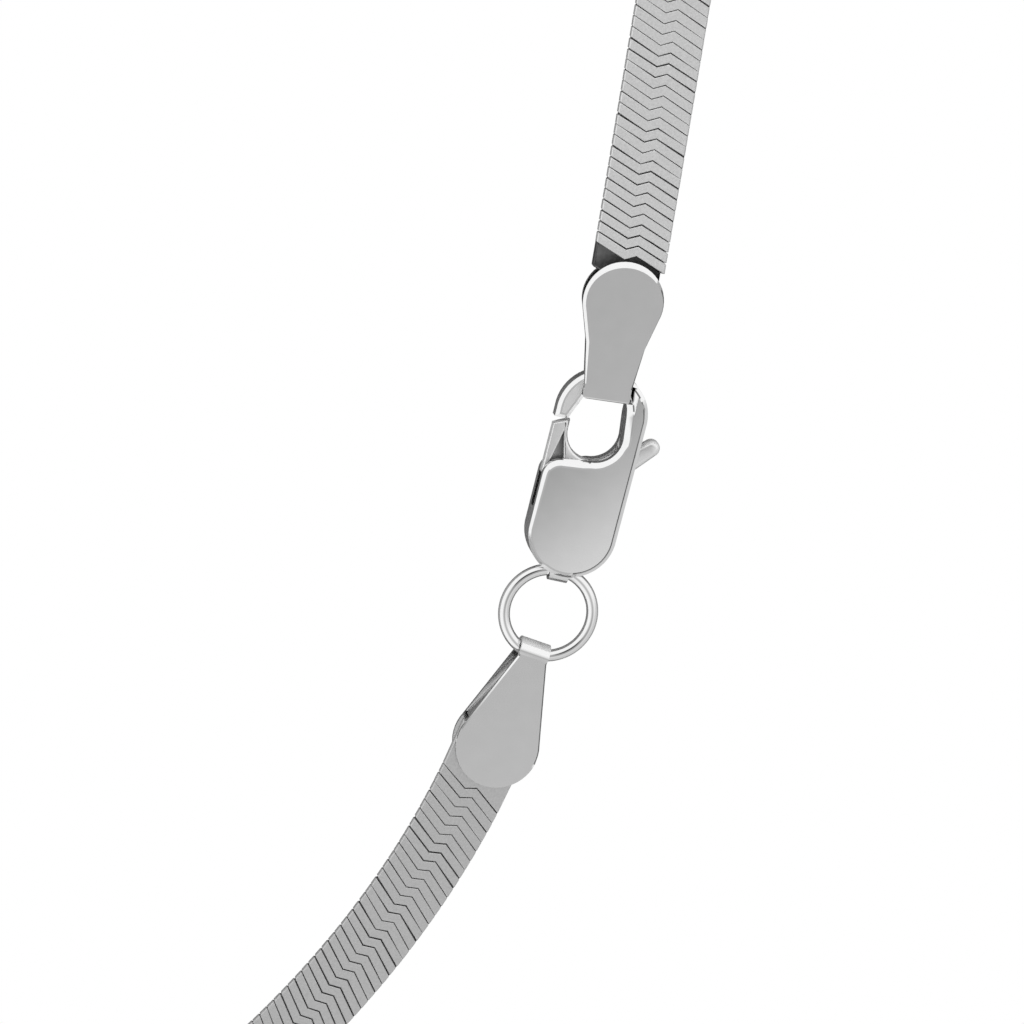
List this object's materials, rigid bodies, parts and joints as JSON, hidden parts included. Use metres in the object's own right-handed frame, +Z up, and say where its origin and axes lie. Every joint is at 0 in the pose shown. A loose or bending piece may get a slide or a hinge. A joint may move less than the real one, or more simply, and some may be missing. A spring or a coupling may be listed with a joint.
{
  "type": "herringbone chain",
  "caption": "Closed flat woven herringbone neck chain with folded end caps, a jump ring and a lobster clasp with a thumb lever.",
  "frame": {"origin": "on the clasp's underside, at the centre of its round tail end; the necklace lies on the plane z = 0", "axes": "+Z up out of the chain's front face, +Y along the clasp from its tail to its hook, +X from the neck opening out past the clasp"},
  "size_m": [0.1345, 0.1636, 0.0022],
  "materials": {
    "woven_silver": "satin, fine lines across each link",
    "polished_silver": "polished"
  },
  "bodies": {
    "necklace": {"chain_band": "woven_silver", "end_cap_upper": "polished_silver", "end_cap_lower": "polished_silver", "clasp_body": "polished_silver", "jump_ring": "polished_silver"},
    "lever": {"clasp_lever": "polished_silver"}
  },
  "joints": [
    {"name": "lever_pivot", "type": "hinge", "parent": "necklace", "child": "lever", "pos_m": [-0.0004, 0.00255, 0.0011], "axis": [0, 0, -1], "range_deg": [0, 20], "stiffness_Nm_per_rad": 0.0002, "springref_deg": -8.59}
  ]
}
